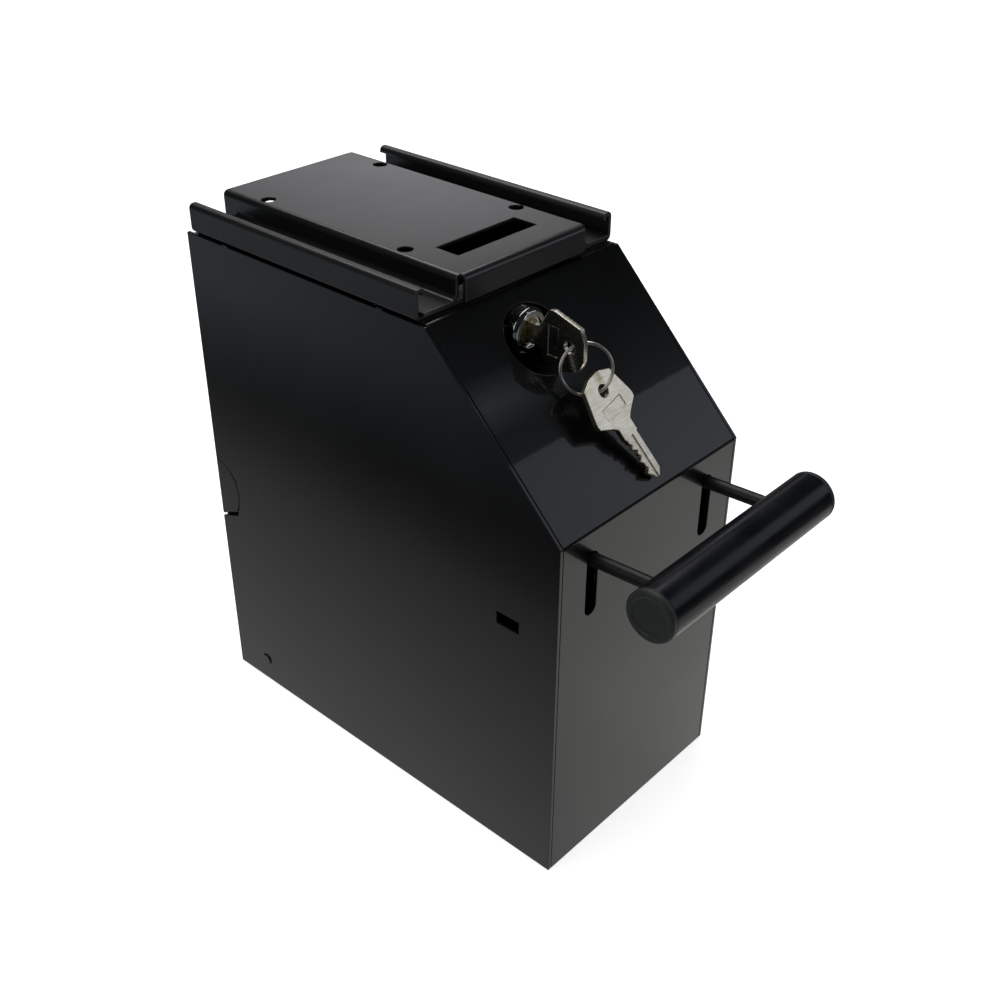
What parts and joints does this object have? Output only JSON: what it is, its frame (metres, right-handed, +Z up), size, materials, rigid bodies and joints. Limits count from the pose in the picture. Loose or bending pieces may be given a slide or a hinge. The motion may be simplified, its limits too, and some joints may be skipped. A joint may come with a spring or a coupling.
{
  "type": "cash safe",
  "caption": "Tall black sheet-metal cash safe with a sloping cam-lock panel, a push-down lever handle, a rear door and rails that slide on a slotted mounting bracket.",
  "frame": {"origin": "on the floor at the middle of the outline seen from above", "axes": "+Z up, the handle and the lock face -Y, the rear door faces +Y, +X across"},
  "size_m": [0.1032, 0.2304, 0.2203],
  "materials": {
    "body_paint": "satin black powder coat",
    "track_paint": "satin black powder coat",
    "bracket_paint": "satin black powder coat",
    "door_paint": "satin black powder coat",
    "inner_zinc": "zinc plated",
    "handle_sleeve": "smooth black",
    "cap_plastic": "moulded black",
    "rod_black": "blackened",
    "lock_chrome": "bright nickel",
    "plug_brass": "worn",
    "key_nickel": "nickel silver",
    "ring_steel": "polished",
    "spring_steel": "drawn wire"
  },
  "bodies": {
    "safe": {"left_side_panel": "body_paint", "right_side_panel": "body_paint", "front_panel": "body_paint", "floor_panel": "body_paint", "floor_rivets": "body_paint", "door_hinge_pin": "inner_zinc", "deck_track": "track_paint", "lock_bracket": "body_paint", "lock_body": "lock_chrome", "lock_washer": "inner_zinc", "lock_nut": "inner_zinc", "pivot_axle": "inner_zinc", "left_pivot_bracket": "body_paint", "right_pivot_bracket": "body_paint", "axle_clips": "inner_zinc", "spring_anchors": "inner_zinc", "left_return_spring": "spring_steel", "right_return_spring": "spring_steel"},
    "lock": {"lock_plug": "plug_brass", "lock_cam": "inner_zinc", "cam_screw": "inner_zinc", "lock_key": "key_nickel"},
    "ring": {"key_ring": "ring_steel"},
    "spare": {"spare_key": "key_nickel"},
    "bracket": {"mounting_bracket": "bracket_paint"},
    "door": {"rear_door": "door_paint"},
    "lever": {"handle_tube": "handle_sleeve", "left_end_cap": "cap_plastic", "right_end_cap": "cap_plastic", "left_lever_rod": "rod_black", "right_lever_rod": "rod_black", "pivot_sleeve": "inner_zinc", "pusher_plate": "inner_zinc"}
  },
  "joints": [
    {"name": "handle_press", "type": "hinge", "parent": "safe", "child": "lever", "pos_m": [0, 0.08675, 0.128], "axis": [1, 0, 0], "range_deg": [0, 6.5], "stiffness_Nm_per_rad": 4, "springref_deg": -17.19, "deforming": ["left_return_spring", "right_return_spring"]},
    {"name": "lock_turn", "type": "hinge", "parent": "safe", "child": "lock", "pos_m": [-0.01, -0.02205, 0.1962], "axis": [0, -1, 0], "range_deg": [0, 90]},
    {"name": "ring_swing", "type": "hinge", "parent": "lock", "child": "ring", "pos_m": [-0.01, -0.03965, 0.1962], "axis": [-1, 0, 0], "range_deg": [0, 50]},
    {"name": "spare_key_swing", "type": "hinge", "parent": "ring", "child": "spare", "pos_m": [-0.0062, -0.05053, 0.18185], "axis": [0, -0.8324, 0.5542], "range_deg": [-15, 15]},
    {"name": "bracket_slide", "type": "slide", "parent": "safe", "child": "bracket", "axis": [0, 1, 0], "range_m": [0, 0.11]},
    {"name": "door_swing", "type": "hinge", "parent": "safe", "child": "door", "pos_m": [0, 0.11225, 0.003], "axis": [-1, 0, 0], "range_deg": [0, 90]}
  ]
}
